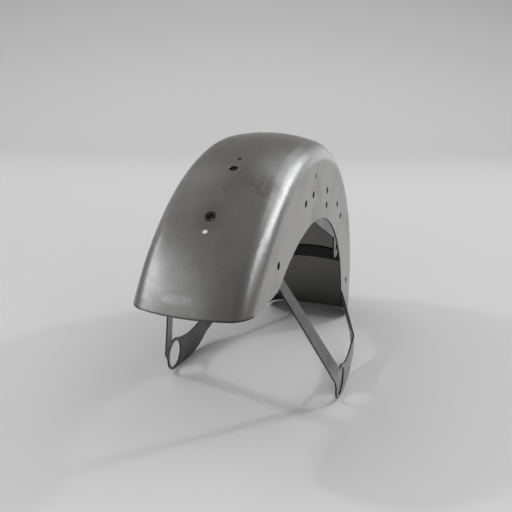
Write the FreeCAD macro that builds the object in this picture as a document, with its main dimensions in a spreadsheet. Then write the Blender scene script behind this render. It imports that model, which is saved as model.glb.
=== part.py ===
"""Motorcycle front fender: pressed steel shell, folded stays with axle eyes, brackets, brace and nut.

Row frame: X forward, Y to the rider's left, Z up, origin midway between the two axle eyes.
The shell, brackets, brace and nut are drawn about the wheel centre, behind and above the axle eyes.
"""
import FreeCAD
import Part
import Sketcher
import math
import os

from enum import IntEnum
from FreeCAD import Placement, Rotation, Vector

DIMENSIONS = [
    ("crown_radius", 360.0, "outside of the crown line, from the wheel centre"),
    ("crown_roll", 223.0, "radius of the crown across its width"),
    ("shoulder_radius", 33.0, "outside radius of the shoulders"),
    ("half_width", 80.8, "mid-plane to the outside of a skirt"),
    ("sheet", 1.5, "gauge of the pressed sheet"),
    ("wheel_behind", 23.5, "wheel centre behind the axle eyes"),
    ("wheel_above", 8.2, "wheel centre above the axle eyes"),
    ("eye_height", 30.0, "axle eyes above the floor it stands on"),
    ("lip_angle", 31.2, "level front lip at the crown, degrees above the wheel centre"),
    ("lip_trim", 3.2, "sheet trimmed off below the front lip, degrees"),
    ("edge_depth", 125.6, "top of the lower edge of a skirt, below the crown"),
    ("edge_ahead", 2.2, "top of that edge ahead of the wheel centre"),
    ("edge_front", 343.0, "radius of that edge ahead of its top"),
    ("edge_rear", 253.0, "radius of that edge behind its top"),
    ("lamp_angle", 49.6, "lamp stud hole along the crown, degrees"),
    ("lamp_hole", 6.6, "lamp stud hole diameter"),
    ("nut_angle", 53.4, "dished hole over the captive nut, degrees"),
    ("nut_hole", 8.6, "dished hole diameter"),
    ("wire_angle", 68.5, "wire hole along the crown, degrees"),
    ("wire_hole", 12.5, "wire hole diameter"),
    ("pin_angle", 72.6, "small dimpled hole along the crown, degrees"),
    ("pin_hole", 3.4, "small hole diameter"),
    ("dish_width", 15.0, "width of a pressed dish at the crown"),
    ("dish_floor", 9.6, "width of the floor of a dish"),
    ("dish_depth", 0.9, "depth of a pressed dish"),
    ("bolt_rise", 44.1, "row of bracket holes above the top of the skirt edge"),
    ("bolt_middle", 107.5, "middle hole of the row, degrees"),
    ("bolt_inner", 18.9, "next holes either way, degrees"),
    ("bolt_outer", 27.8, "last holes either way, degrees"),
    ("bolt_hole", 11.0, "bracket and stay hole diameter"),
    ("low_rise", 21.6, "single hole under the row above the top of the skirt edge"),
    ("low_angle", 109.0, "angle of the single hole under the row, degrees"),
    ("trim_rise", 69.9, "small hole over the row above the top of the skirt edge"),
    ("trim_angle", 90.7, "angle of the small hole over the row, degrees"),
    ("trim_hole", 6.0, "small hole diameter"),
    ("bracket_plate", 2.5, "thickness of a fork bracket"),
    ("bracket_margin", 13.5, "bracket edge from the row of holes"),
    ("bracket_end", 142.0, "rear end of the bracket, degrees"),
    ("ear_drop", 1.9, "fork bolt hole inside the top of the skirt edge"),
    ("ear_angle", 142.8, "angle of the fork bolt hole, degrees"),
    ("ear_hole", 12.0, "fork bolt hole diameter"),
    ("ear_radius", 18.0, "rounded end of the ear"),
    ("corner_drop", 2.8, "inner corner of the ear inside the top of the skirt edge"),
    ("corner_angle", 134.4, "inner corner of the ear, degrees"),
    ("eye_spread", 278.8, "between the middles of the two eye plates"),
    ("eye_hole", 44.5, "axle eye diameter"),
    ("eye_rim", 4.8, "metal round the axle eye"),
    ("stay_plate", 2.4, "thickness of a stay"),
    ("stay_rise", 52.1, "stay holes above the top of the skirt edge"),
    ("stay_front", 50.9, "front stay hole, degrees"),
    ("stay_rear", 170.3, "rear stay hole, degrees"),
    ("strap_width", 26.0, "width of the front strap at the eye"),
    ("strap_tip", 17.5, "width of the front strap at the skirt"),
    ("strap_lead", 9.8, "middle of the front strap ahead of the eye centre"),
    ("strap_root", 30.0, "front strap folds this far from the eye centre"),
    ("strap_tab", 35.0, "front strap folds this far short of its hole"),
    ("tab_end", 13.0, "stay ends beyond their holes"),
    ("heel_back", 53.5, "lowest point of a stay behind the eye"),
    ("heel_radius", 140.0, "radius of the lower edge of a stay"),
    ("toe_start", 30.0, "eye plate begins to lean in this far behind the eye"),
    ("toe_in", 4.9, "eye plate nearer the skirt at the fold of the rear strap"),
    ("plate_fold", 126.0, "rear strap folds this far behind the eye"),
    ("pad_lead", 27.0, "rear strap folds again this far ahead of its hole"),
    ("toe_bend", 60.0, "inside radius where the eye plate begins to lean in"),
    ("fold_bend", 5.0, "inside radius of the folds at the eye plate"),
    ("tab_bend", 40.0, "inside radius where a strap turns onto the skirt"),
    ("strap_depth", 12.6, "width of the rear strap"),
    ("saddle_back", 60.0, "lowest point of the upper edge behind the eye"),
    ("saddle_up", 15.3, "lowest point of the upper edge above the eye centre"),
    ("saddle_rise", 8.3, "slope of the rear strap, degrees"),
    ("pad_corner", 11.0, "rounded corners of the rear pad"),
    ("brace_from", 165.7, "upper edge of the brace, degrees"),
    ("brace_to", 169.6, "lower edge of the brace, degrees"),
    ("brace_strip", 3.0, "thickness of the brace"),
    ("brace_leg", 14.9, "ends of the brace below the middle of the shoulders"),
    ("seat_gap", 0.2, "weld gap under a curved seat"),
    ("nut_flats", 13.0, "captive nut across its flats"),
    ("nut_height", 6.5, "captive nut height"),
    ("nut_bore", 6.8, "captive nut bore"),
    ("overshoot", 30.0, "cuts run past the sheet by this much"),
]

Y_AXIS, Z_AXIS = Vector(0, 1, 0), Vector(0, 0, 1)
Spot = IntEnum("Spot", "START END CENTRE")
Guide = IntEnum("Guide", {"LEVEL": -1, "UPRIGHT": -2})

doc = FreeCAD.newDocument("front_fender")


def driving_sheet():
    """The sheet of driving dimensions, one alias a row."""
    sheet = doc.addObject("Spreadsheet::Sheet", "dims")
    for row, (alias, number, note) in enumerate(DIMENSIONS, start=1):
        sheet.set("A%d" % row, note)
        sheet.set("B%d" % row, str(number))
        sheet.setAlias("B%d" % row, alias)
    doc.recompute()
    return sheet


class Size:
    """Reads the driving dimensions by name, for the first guess of each sketch."""

    def __init__(self, sheet):
        for alias, _, _ in DIMENSIONS:
            setattr(self, alias, float(sheet.get(alias)))
        self.edge_top = self.crown_radius - self.edge_depth
        self.shoulder_out = self.half_width - self.shoulder_radius
        reach = self.crown_roll - self.shoulder_radius
        climb = math.sqrt(reach ** 2 - self.shoulder_out ** 2)
        self.shoulder_up = self.crown_radius - self.crown_roll + climb

    def stay_hole(self, angle):
        """A stay hole, from the axle eyes."""
        x, z = polar(self.edge_top + self.stay_rise, angle)
        return (x - self.wheel_behind, z + self.wheel_above)


EDGE_TOP = "(dims.crown_radius - dims.edge_depth)"
SHOULDER_UP = ("(dims.crown_radius - dims.crown_roll + sqrt((dims.crown_roll - dims.shoulder_radius) ^ 2"
               " - (dims.half_width - dims.shoulder_radius) ^ 2))")


def above_edge(alias, sign="+"):
    """Expression for a radius that lies above or inside the top of the skirt edge."""
    return "(%s %s dims.%s)" % (EDGE_TOP, sign, alias)


def stay_hole_rules(angle):
    """Expressions for a stay hole, from the axle eyes."""
    arc = above_edge("stay_rise")
    return ("(%s * cos(dims.%s) - dims.wheel_behind)" % (arc, angle),
            "(%s * sin(dims.%s) + dims.wheel_above)" % (arc, angle))


def polar(radius, degrees):
    return (radius * math.cos(math.radians(degrees)), radius * math.sin(math.radians(degrees)))


def polar_rules(radius, angle):
    """Expressions for the point at a radius and an angle."""
    return ["%s * %s(%s)" % (radius, turn, angle) for turn in ("cos", "sin")]


class Profile:
    """A sketch on one of a body's planes, drawn as chains of lines and arcs and then dimensioned."""

    origin, upright = (Guide.LEVEL, Spot.START), Guide.UPRIGHT

    def __init__(self, body, name, plane, offset=None):
        self.sketch = body.newObject("Sketcher::SketchObject", name)
        support = [part for part in body.Origin.OriginFeatures if part.Role == plane][0]
        self.sketch.AttachmentSupport = [(support, "")]
        self.sketch.MapMode = "FlatFace"
        if offset is not None:
            self.sketch.AttachmentOffset = offset
        self.sketch.Visibility = False
        self.chain = []

    def bind(self, prop, expression):
        self.sketch.setExpression(prop, expression)

    def rule(self, *arguments):
        return self.sketch.addConstraint(Sketcher.Constraint(*arguments))

    def rules(self, kind, *edges):
        for edge in edges:
            self.rule(kind, edge)

    def size(self, name, expression, *arguments):
        """A named dimension that follows the sheet."""
        index = self.rule(*arguments)
        self.sketch.renameConstraint(index, name)
        self.sketch.setExpression("Constraints." + name, expression)

    def across(self, name, edge, spot, x, expression):
        """Distance of a point from the origin, along the sketch's X axis."""
        self.size(name, expression, "DistanceX", *self.origin, edge, spot, x)

    def up(self, name, edge, spot, y, expression):
        """Distance of a point from the origin, along the sketch's Y axis."""
        self.size(name, expression, "DistanceY", *self.origin, edge, spot, y)

    def point(self, name, edge, spot, place, rules):
        """Places one point of the sketch from its origin."""
        self.across(name + "_x", edge, spot, place[0], rules[0])
        self.up(name + "_y", edge, spot, place[1], rules[1])

    def begin(self, x, y):
        self.here = Vector(x, y, 0)
        self.chain = []

    def add(self, shape, start, end, smooth):
        """Adds one edge to the chain and joins it to the edge before."""
        index = self.sketch.addGeometry(shape, False)
        if self.chain:
            last, _, tail = self.chain[-1]
            self.rule("Tangent" if smooth else "Coincident", last, tail, index, start)
        self.chain.append((index, start, end))
        return index

    def line(self, x, y, smooth=False):
        there = Vector(x, y, 0)
        index = self.add(Part.LineSegment(self.here, there), Spot.START, Spot.END, smooth)
        self.here = there
        return index

    def arc(self, centre, x, y, turn, smooth=False):
        """An arc to a point; turn is +1 anticlockwise or -1 clockwise."""
        middle, there = Vector(centre[0], centre[1], 0), Vector(x, y, 0)
        first, last = (self.here, there) if turn > 0 else (there, self.here)
        angles = [math.atan2(point.y - middle.y, point.x - middle.x) for point in (first, last)]
        if angles[1] <= angles[0]:
            angles[1] += 2 * math.pi
        circle = Part.Circle(middle, Z_AXIS, (first - middle).Length)
        ends = (Spot.START, Spot.END) if turn > 0 else (Spot.END, Spot.START)
        index = self.add(Part.ArcOfCircle(circle, *angles), *ends, smooth)
        self.here = there
        return index

    def close(self, smooth=False):
        last, _, tail = self.chain[-1]
        first, head, _ = self.chain[0]
        self.rule("Tangent" if smooth else "Coincident", last, tail, first, head)

    def box(self, low, high, low_rules, high_rules):
        """A rectangle between two corners."""
        self.begin(*low)
        base = self.line(high[0], low[1])
        side = self.line(*high)
        top = self.line(low[0], high[1])
        back = self.line(*low)
        self.close()
        self.rules("Horizontal", base, top)
        self.rules("Vertical", side, back)
        self.point("low_%d" % base, base, Spot.START, low, low_rules)
        self.point("high_%d" % base, top, Spot.START, high, high_rules)

    def hole(self, name, place, rules, alias):
        """A round hole; alias names its diameter in the sheet."""
        diameter = getattr(size, alias)
        circle = self.sketch.addGeometry(Part.Circle(Vector(*place, 0), Z_AXIS, diameter / 2), False)
        self.point(name, circle, Spot.CENTRE, place, rules)
        self.size(name, "dims." + alias, "Diameter", circle, diameter)

    def polar_hole(self, name, arc, degrees, arc_rule, angle_rule, alias):
        self.hole(name, polar(arc, degrees), polar_rules(arc_rule, angle_rule), alias)

    def middle_hole(self, alias):
        """A round hole on the sketch's origin."""
        diameter = getattr(size, alias)
        circle = self.sketch.addGeometry(Part.Circle(Vector(), Z_AXIS, diameter / 2), False)
        self.rule("Coincident", circle, Spot.CENTRE, *self.origin)
        self.size(alias, "dims." + alias, "Diameter", circle, diameter)


def new_body(label, about_wheel=True):
    """A body drawn about the wheel centre, or about the axle eyes."""
    body = doc.addObject("PartDesign::Body", label)
    body.Label = label
    if about_wheel:
        body.setExpression("Placement.Base.x", "-dims.wheel_behind")
        body.setExpression("Placement.Base.z", "dims.wheel_above")
    return body


def cut_through(body, name, profile):
    """Cuts a profile right through the body, both ways."""
    before = body.Shape.Volume
    pocket = body.newObject("PartDesign::Pocket", name)
    pocket.Profile = profile.sketch
    pocket.Type = "ThroughAll"
    pocket.Midplane = True
    doc.recompute()
    if body.Shape.Volume >= before:
        raise RuntimeError(name + " cut nothing")


def section(body, name, top, wall, foot, top_rule, wall_rule, foot_rule):
    """The fender's section: crown with a seam on its line, shoulders and flat skirts, one wall thick.

    top is the depth of its outside below the crown, and foot is where the skirts end.
    """
    roll, inner = size.crown_roll, top + wall
    crown_centre = (0, size.crown_radius - roll)
    shoulder = (size.shoulder_out, size.shoulder_up)
    left_shoulder = (-size.shoulder_out, size.shoulder_up)
    slope = math.atan2(size.shoulder_up - crown_centre[1], size.shoulder_out)

    def joint(depth, side):
        """Where the crown meets a shoulder."""
        reach = roll - depth
        return (side * reach * math.cos(slope), crown_centre[1] + reach * math.sin(slope))

    outside, inside = size.half_width - top, size.half_width - inner
    profile = Profile(body, name, "YZ_Plane")
    profile.begin(0, size.crown_radius - top)
    crown = profile.arc(crown_centre, *joint(top, +1), -1)
    bend = profile.arc(shoulder, outside, size.shoulder_up, -1, smooth=True)
    skirt = profile.line(outside, foot, smooth=True)
    hem = profile.line(inside, foot)
    lining = profile.line(inside, size.shoulder_up)
    inner_bend = profile.arc(shoulder, *joint(inner, +1), +1, smooth=True)
    inner_crown = profile.arc(crown_centre, 0, size.crown_radius - inner, +1, smooth=True)
    left_inner_crown = profile.arc(crown_centre, *joint(inner, -1), +1)
    left_inner_bend = profile.arc(left_shoulder, -inside, size.shoulder_up, +1, smooth=True)
    left_lining = profile.line(-inside, foot, smooth=True)
    left_hem = profile.line(-outside, foot)
    left_skirt = profile.line(-outside, size.shoulder_up)
    left_bend = profile.arc(left_shoulder, *joint(top, -1), -1, smooth=True)
    left_crown = profile.arc(crown_centre, 0, size.crown_radius - top, -1, smooth=True)
    profile.close()
    for first, second in ((crown, inner_crown), (crown, left_crown), (crown, left_inner_crown),
                          (bend, inner_bend), (left_bend, left_inner_bend)):
        profile.rule("Coincident", first, Spot.CENTRE, second, Spot.CENTRE)
    for edge, spot in ((crown, Spot.CENTRE), (crown, Spot.END), (inner_crown, Spot.END)):
        profile.rule("PointOnObject", edge, spot, profile.upright)
    profile.rule("Symmetric", bend, Spot.CENTRE, left_bend, Spot.CENTRE, profile.upright)
    profile.rules("Vertical", skirt, lining, left_skirt, left_lining)
    profile.rules("Horizontal", hem, left_hem)
    profile.size("roll", "dims.crown_roll - " + top_rule, "Radius", crown, roll - top)
    profile.size("wall", "dims.crown_roll - %s - %s" % (top_rule, wall_rule),
                 "Radius", inner_crown, roll - inner)
    profile.size("bend", "dims.shoulder_radius - " + top_rule, "Radius", bend, size.shoulder_radius - top)
    profile.up("crown", crown, Spot.CENTRE, crown_centre[1], "dims.crown_radius - dims.crown_roll")
    profile.across("width", skirt, Spot.START, outside, "dims.half_width - " + top_rule)
    profile.up("foot", skirt, Spot.END, foot, foot_rule)
    profile.up("left_foot", left_lining, Spot.END, foot, foot_rule)
    return profile


def swept(body, profile, forward, backward):
    """Turns a section about the wheel axis, forward and backward of upright."""
    turn = body.newObject("PartDesign::Revolution", body.Label + "_turn")
    turn.Profile = profile.sketch
    turn.ReferenceAxis = (profile.sketch, ["H_Axis"])
    turn.Type = "TwoAngles"
    turn.setExpression("Angle", forward)
    turn.setExpression("Angle2", backward)
    doc.recompute()


def crown_hole(body, name, angle, alias):
    """A hole through the crown, on the mid-plane, square to the radius at an angle along it."""
    offset = Placement(Vector(), Rotation(Y_AXIS, 90 - getattr(size, angle)))
    profile = Profile(body, name, "XY_Plane", offset)
    profile.bind("AttachmentOffset.Rotation.Angle", "90 - dims." + angle)
    profile.middle_hole(alias)
    cut_through(body, name + "_cut", profile)


def dish_profile(body, name, angle, top, top_rule):
    """Half of a dish beside the radius at an angle along the crown: wide at the top, narrow at its floor.

    A straight brim carries it half a sheet above the top, so that it meets the curved crown all round.
    """
    offset = Placement(Vector(), Rotation(Z_AXIS, getattr(size, angle) - 90))
    profile = Profile(body, name, "XZ_Plane", offset)
    profile.bind("AttachmentOffset.Rotation.Angle", "dims.%s - 90" % angle)
    roof, bottom = top + size.sheet / 2, top - size.dish_depth
    profile.begin(0, roof)
    lid = profile.line(size.dish_width / 2, roof)
    brim = profile.line(size.dish_width / 2, top)
    profile.line(size.dish_floor / 2, bottom)
    base = profile.line(0, bottom)
    profile.line(0, roof)
    profile.close()
    profile.rules("Horizontal", lid, base)
    profile.rules("Vertical", brim)
    profile.rule("PointOnObject", lid, Spot.START, profile.upright)
    profile.rule("PointOnObject", base, Spot.END, profile.upright)
    profile.up("roof", lid, Spot.END, roof, top_rule + " + dims.sheet / 2")
    profile.point("rim", brim, Spot.END, (size.dish_width / 2, top), ("dims.dish_width / 2", top_rule))
    profile.point("base", base, Spot.START, (size.dish_floor / 2, bottom),
                  ("dims.dish_floor / 2", top_rule + " - dims.dish_depth"))
    return profile


def pressed_dish(body, name, angle):
    """A dish pressed into the crown: a swelling on the inside, then a hollow of the same form outside."""
    crown, lining = size.crown_radius, size.crown_radius - size.sheet
    for kind, part, top, top_rule in (
            ("PartDesign::Revolution", "_swell", lining, "dims.crown_radius - dims.sheet"),
            ("PartDesign::Groove", "_hollow", crown, "dims.crown_radius")):
        profile = dish_profile(body, name + part, angle, top, top_rule)
        turned = body.newObject(kind, name + part + "_turn")
        turned.Profile = profile.sketch
        turned.ReferenceAxis = (profile.sketch, ["V_Axis"])
        turned.Angle = 360
        doc.recompute()


def skirt_bolt_holes(profile):
    """The holes that a skirt shares with its fork bracket."""
    outer, inner = size.bolt_outer, size.bolt_inner
    steps = (("- dims.bolt_outer", -outer), ("- dims.bolt_inner", -inner), ("", 0),
             ("+ dims.bolt_inner", inner), ("+ dims.bolt_outer", outer))
    for index, (rule, step) in enumerate(steps):
        profile.polar_hole("bolt_%d" % index, size.edge_top + size.bolt_rise, size.bolt_middle + step,
                           above_edge("bolt_rise"), "dims.bolt_middle " + rule, "bolt_hole")
    profile.polar_hole("low", size.edge_top + size.low_rise, size.low_angle,
                       above_edge("low_rise"), "dims.low_angle", "bolt_hole")


def front_lip(body):
    """Trims the front of the shell to a level lip."""
    profile = Profile(body, "front_lip", "XZ_Plane")
    lip = size.crown_radius * math.sin(math.radians(size.lip_angle))
    profile.box((size.edge_ahead, -size.overshoot), (size.crown_radius + size.overshoot, lip),
                ("dims.edge_ahead", "-dims.overshoot"),
                ("dims.crown_radius + dims.overshoot", "dims.crown_radius * sin(dims.lip_angle)"))
    cut_through(body, "front_lip_cut", profile)


def skirt_edge(body):
    """Trims both skirts to two arcs that meet at the top of the wheel opening."""
    profile = Profile(body, "skirt_edge", "XZ_Plane")
    floor = -size.wheel_above - size.eye_height
    ahead, top = size.edge_ahead, size.edge_top
    rear_centre, front_centre = (ahead, top - size.edge_rear), (ahead, top - size.edge_front)
    rear_x = ahead - math.sqrt(size.edge_rear ** 2 - (floor - rear_centre[1]) ** 2)
    front_x = ahead + math.sqrt(size.edge_front ** 2 - (floor - front_centre[1]) ** 2)
    profile.begin(ahead, top)
    rear = profile.arc(rear_centre, rear_x, floor, +1)
    ground = profile.line(front_x, floor)
    front = profile.arc(front_centre, ahead, top, +1)
    profile.close(smooth=True)
    profile.rule("Horizontal", ground)
    profile.up("ground", ground, Spot.START, floor, "-dims.wheel_above - dims.eye_height")
    profile.size("rear", "dims.edge_rear", "Radius", rear, size.edge_rear)
    profile.point("rear_centre", rear, Spot.CENTRE, rear_centre,
                  ("dims.edge_ahead", EDGE_TOP + " - dims.edge_rear"))
    profile.point("front_centre", front, Spot.CENTRE, front_centre,
                  ("dims.edge_ahead", EDGE_TOP + " - dims.edge_front"))
    cut_through(body, "skirt_edge_cut", profile)


def fender_shell():
    """The pressed sheet: swept section, level front lip, curved skirt edge, dishes and holes."""
    body = new_body("fender_shell")
    profile = section(body, "section", 0, size.sheet, size.edge_top - size.overshoot,
                      "0", "dims.sheet", EDGE_TOP + " - dims.overshoot")
    swept(body, profile, "90 - dims.lip_angle + dims.lip_trim",
          "90 deg + asin((dims.wheel_above + dims.eye_height) / dims.crown_radius)")
    front_lip(body)
    skirt_edge(body)
    for name in ("nut", "pin"):
        pressed_dish(body, name + "_dish", name + "_angle")
    for name in ("lamp", "nut", "wire", "pin"):
        crown_hole(body, name + "_opening", name + "_angle", name + "_hole")
    holes = Profile(body, "skirt_holes", "XZ_Plane")
    skirt_bolt_holes(holes)
    holes.polar_hole("trim", size.edge_top + size.trim_rise, size.trim_angle,
                     above_edge("trim_rise"), "dims.trim_angle", "trim_hole")
    for name in ("stay_front", "stay_rear"):
        holes.polar_hole(name, size.edge_top + size.stay_rise, getattr(size, name),
                         above_edge("stay_rise"), "dims." + name, "bolt_hole")
    cut_through(body, "skirt_holes_cut", holes)
    return body


def rear_brace():
    """A strip bent across the inside of the crown and shoulders."""
    body = new_body("rear_brace")
    top, foot = size.sheet + size.seat_gap, size.shoulder_up - size.brace_leg
    profile = section(body, "strip", top, size.brace_strip, foot,
                      "(dims.sheet + dims.seat_gap)", "dims.brace_strip", SHOULDER_UP + " - dims.brace_leg")
    swept(body, profile, "90 - dims.brace_from", "dims.brace_to - 90")
    return body


def fork_bracket():
    """The flat plate inside the left skirt: row of holes, straight lower edge and hanging ear."""
    body = new_body("left_fork_bracket")
    inside = size.half_width - size.sheet
    profile = Profile(body, "outline", "XZ_Plane", Placement(Vector(0, 0, -inside), Rotation()))
    profile.bind("AttachmentOffset.Base.z", "-(dims.half_width - dims.sheet)")
    bolt_arc, ear_arc = size.edge_top + size.bolt_rise, size.edge_top - size.ear_drop
    bolt_rule, ear_rule = above_edge("bolt_rise"), above_edge("ear_drop", "-")
    margin, upper = size.bracket_margin, bolt_arc + size.bracket_margin
    first = size.bolt_middle - size.bolt_outer
    first_hole = polar(bolt_arc, first)
    ear = polar(ear_arc, size.ear_angle)
    corner = polar(size.edge_top - size.corner_drop, size.corner_angle)
    back = polar(upper, size.bracket_end)

    def touch(point, centre, radius, side):
        """Where the line from a point touches a circle, on its left (+1) or right (-1)."""
        gap = (centre[0] - point[0], centre[1] - point[1])
        reach = math.hypot(*gap)
        angle = math.atan2(gap[1], gap[0]) + side * math.asin(radius / reach)
        run = math.sqrt(reach ** 2 - radius ** 2)
        return (point[0] + run * math.cos(angle), point[1] + run * math.sin(angle))

    profile.begin(*polar(upper, first))
    rim = profile.arc((0, 0), *back, +1)
    profile.line(*touch(back, ear, size.ear_radius, -1))
    lobe = profile.arc(ear, *touch(corner, ear, size.ear_radius, +1), +1, smooth=True)
    side = profile.line(*corner, smooth=True)
    profile.line(*touch(corner, first_hole, margin, -1))
    nose = profile.arc(first_hole, *polar(upper, first), +1, smooth=True)
    profile.close(smooth=True)
    profile.rule("Coincident", rim, Spot.CENTRE, *profile.origin)
    profile.size("rim", bolt_rule + " + dims.bracket_margin", "Radius", rim, upper)
    profile.across("back", rim, Spot.END, back[0],
                   "(%s + dims.bracket_margin) * cos(dims.bracket_end)" % bolt_rule)
    profile.point("ear", lobe, Spot.CENTRE, ear, polar_rules(ear_rule, "dims.ear_angle"))
    profile.size("lobe", "dims.ear_radius", "Radius", lobe, size.ear_radius)
    profile.point("corner", side, Spot.END, corner,
                  polar_rules(above_edge("corner_drop", "-"), "dims.corner_angle"))
    profile.across("nose_x", nose, Spot.CENTRE, first_hole[0],
                   bolt_rule + " * cos(dims.bolt_middle - dims.bolt_outer)")
    profile.size("nose", "dims.bracket_margin", "Radius", nose, margin)
    skirt_bolt_holes(profile)
    profile.polar_hole("ear_bolt", ear_arc, size.ear_angle, ear_rule, "dims.ear_angle", "ear_hole")

    plate = body.newObject("PartDesign::Pad", "plate")
    plate.Profile = profile.sketch
    plate.setExpression("Length", "dims.bracket_plate")
    doc.recompute()
    return body


def folded_strip(body, name, offset, ties, stations):
    """A thin strip bent along its length, seen edge on.

    The sketch's X axis runs along the strip. Each station is a point of its outer face, with an expression
    for either distance and the alias of its inside bend radius, or None at the ends. Ties bind the sketch's
    own place.
    """
    profile = Profile(body, name, "XY_Plane", offset)
    for prop, expression in ties:
        profile.bind(prop, expression)
    corners = [Vector(place[0], place[1], 0) for place, _, _ in stations]
    ways = [(end - start).normalize() for start, end in zip(corners, corners[1:])]
    bends = []
    for corner, before, after, (_, _, alias) in zip(corners[1:], ways, ways[1:], stations[1:]):
        turn = 1 if before.cross(after).z > 0 else -1
        radius = getattr(size, alias) + (0 if turn > 0 else size.stay_plate)
        reach = radius * math.tan(before.getAngle(after) / 2)
        start, end = corner - before * reach, corner + after * reach
        bends.append((start, end, start + Z_AXIS.cross(before) * (turn * radius), turn, radius, alias))

    def inward(point, middle, turn, radius):
        """The point of the inner face opposite a point of a bend's outer face."""
        return middle + (point - middle) * ((radius + turn * size.stay_plate) / radius)

    profile.begin(corners[0].x, corners[0].y)
    runs, arcs = [], []
    for start, end, middle, turn, _, _ in bends:
        runs.append(profile.line(start.x, start.y, smooth=bool(arcs)))
        arcs.append(profile.arc(middle, end.x, end.y, turn, smooth=True))
    runs.append(profile.line(corners[-1].x, corners[-1].y, smooth=True))
    last, first = corners[-1].y - size.stay_plate, corners[0].y - size.stay_plate
    tip = profile.line(corners[-1].x, last)
    linings, inner_arcs = [], []
    for start, end, middle, turn, radius, _ in reversed(bends):
        begin, stop = inward(end, middle, turn, radius), inward(start, middle, turn, radius)
        linings.append(profile.line(begin.x, begin.y, smooth=bool(inner_arcs)))
        inner_arcs.append(profile.arc(middle, stop.x, stop.y, -turn, smooth=True))
    linings.append(profile.line(corners[0].x, first, smooth=True))
    tail = profile.line(corners[0].x, corners[0].y)
    profile.close()
    profile.rules("Vertical", tip, tail)
    profile.rule("Parallel", runs[0], linings[-1])
    profile.rule("Parallel", runs[-1], linings[0])
    for index, (bend, arc, inner_arc) in enumerate(zip(bends, arcs, reversed(inner_arcs))):
        turn, radius, alias = bend[3:]
        hollow, bulge = (arc, inner_arc) if turn > 0 else (inner_arc, arc)
        profile.rule("Coincident", arc, Spot.CENTRE, inner_arc, Spot.CENTRE)
        profile.size("hollow_%d" % index, "dims." + alias, "Radius", hollow, getattr(size, alias))
        profile.size("bulge_%d" % index, "dims.%s + dims.stay_plate" % alias, "Radius", bulge,
                     getattr(size, alias) + size.stay_plate)
    for index, (place, rules, _) in enumerate(stations):
        if index in (0, len(runs)):
            edge, spot = (runs[0], Spot.START) if index == 0 else (runs[-1], Spot.END)
        else:
            edge, spot = profile.sketch.addGeometry(Part.Point(corners[index]), True), Spot.START
            profile.rule("PointOnObject", edge, spot, runs[index - 1])
            profile.rule("PointOnObject", edge, spot, runs[index])
        profile.point("station_%d" % index, edge, spot, place, rules)
    return profile


def padded(body, name, profile, width):
    """Gives a strip its width, evenly about its sketch."""
    pad = body.newObject("PartDesign::Pad", name)
    pad.Profile = profile.sketch
    pad.Midplane = True
    pad.setExpression("Length", width)
    doc.recompute()


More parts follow.
